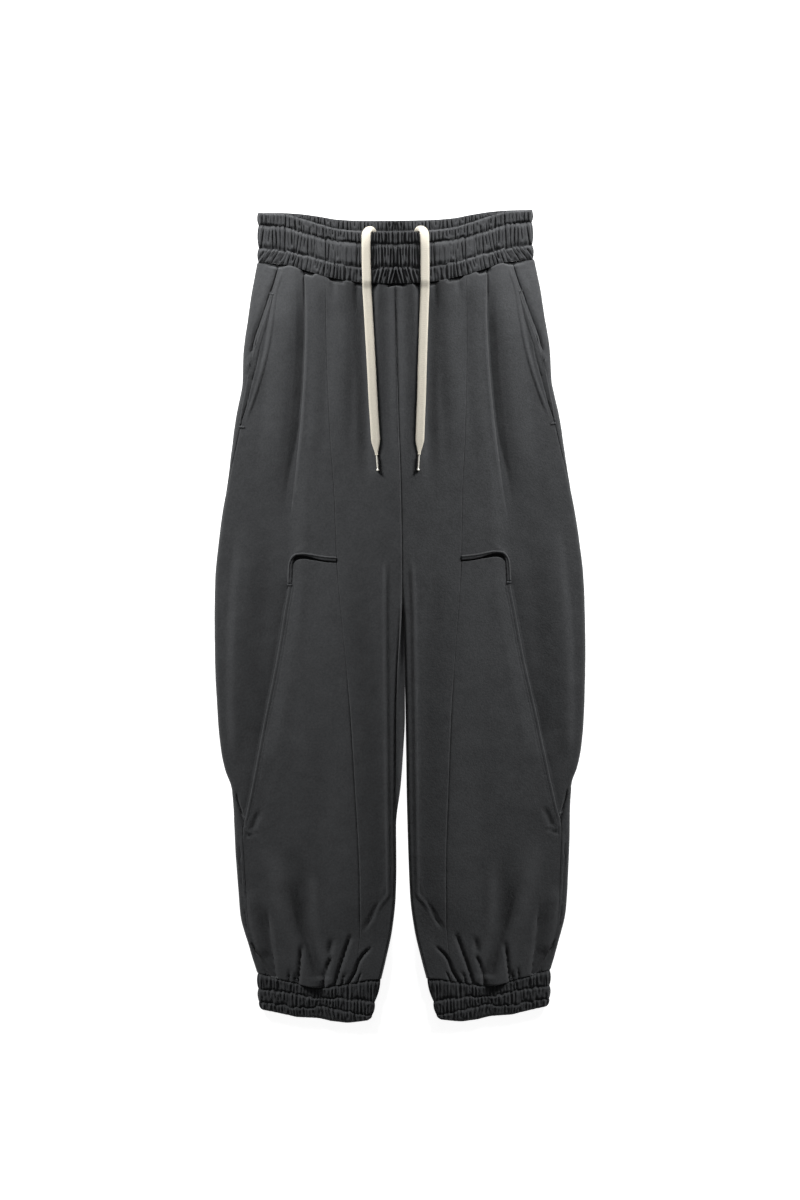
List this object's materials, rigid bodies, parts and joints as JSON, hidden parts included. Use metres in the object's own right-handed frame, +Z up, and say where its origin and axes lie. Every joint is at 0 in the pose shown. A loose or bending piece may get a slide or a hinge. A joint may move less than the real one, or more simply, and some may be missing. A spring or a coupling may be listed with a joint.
{
  "type": "sweatpants",
  "caption": "Balloon-leg sweatpants laid flat, front up, with a gathered waistband and cuffs, slanted hip pockets, knee pockets and a flat drawstring.",
  "frame": {"origin": "middle of the laid-flat garment, on the surface it lies on", "axes": "+Y towards the waist, +X towards the wearer's left leg, +Z up out of the front"},
  "size_m": [0.4628, 1.012, 0.015],
  "materials": {
    "fleece": "heavy charcoal cotton fleece with a matt, faintly mottled face",
    "band_fleece": "the same charcoal fleece, gathered over elastic in three rows",
    "cotton_tape": "undyed flat braided cotton tape",
    "aglet_metal": "thin satin metal tube with a flared tip"
  },
  "bodies": {
    "root": {"waistband_front": "band_fleece", "waistband_back": "band_fleece", "front_centre_L": "fleece", "front_centre_R": "fleece", "front_side_L": "fleece", "front_side_R": "fleece", "knee_pocket_L": "fleece", "knee_pocket_R": "fleece", "back_L": "fleece", "back_R": "fleece", "cuff_front_L": "band_fleece", "cuff_front_R": "band_fleece", "cuff_back_L": "band_fleece", "cuff_back_R": "band_fleece", "hip_pocket_welt_L": "fleece", "hip_pocket_welt_R": "fleece", "knee_pocket_welt_L": "fleece", "knee_pocket_welt_R": "fleece", "drawstring_L": "cotton_tape", "drawstring_R": "cotton_tape", "aglet_L": "aglet_metal", "aglet_R": "aglet_metal"}
  },
  "joints": []
}
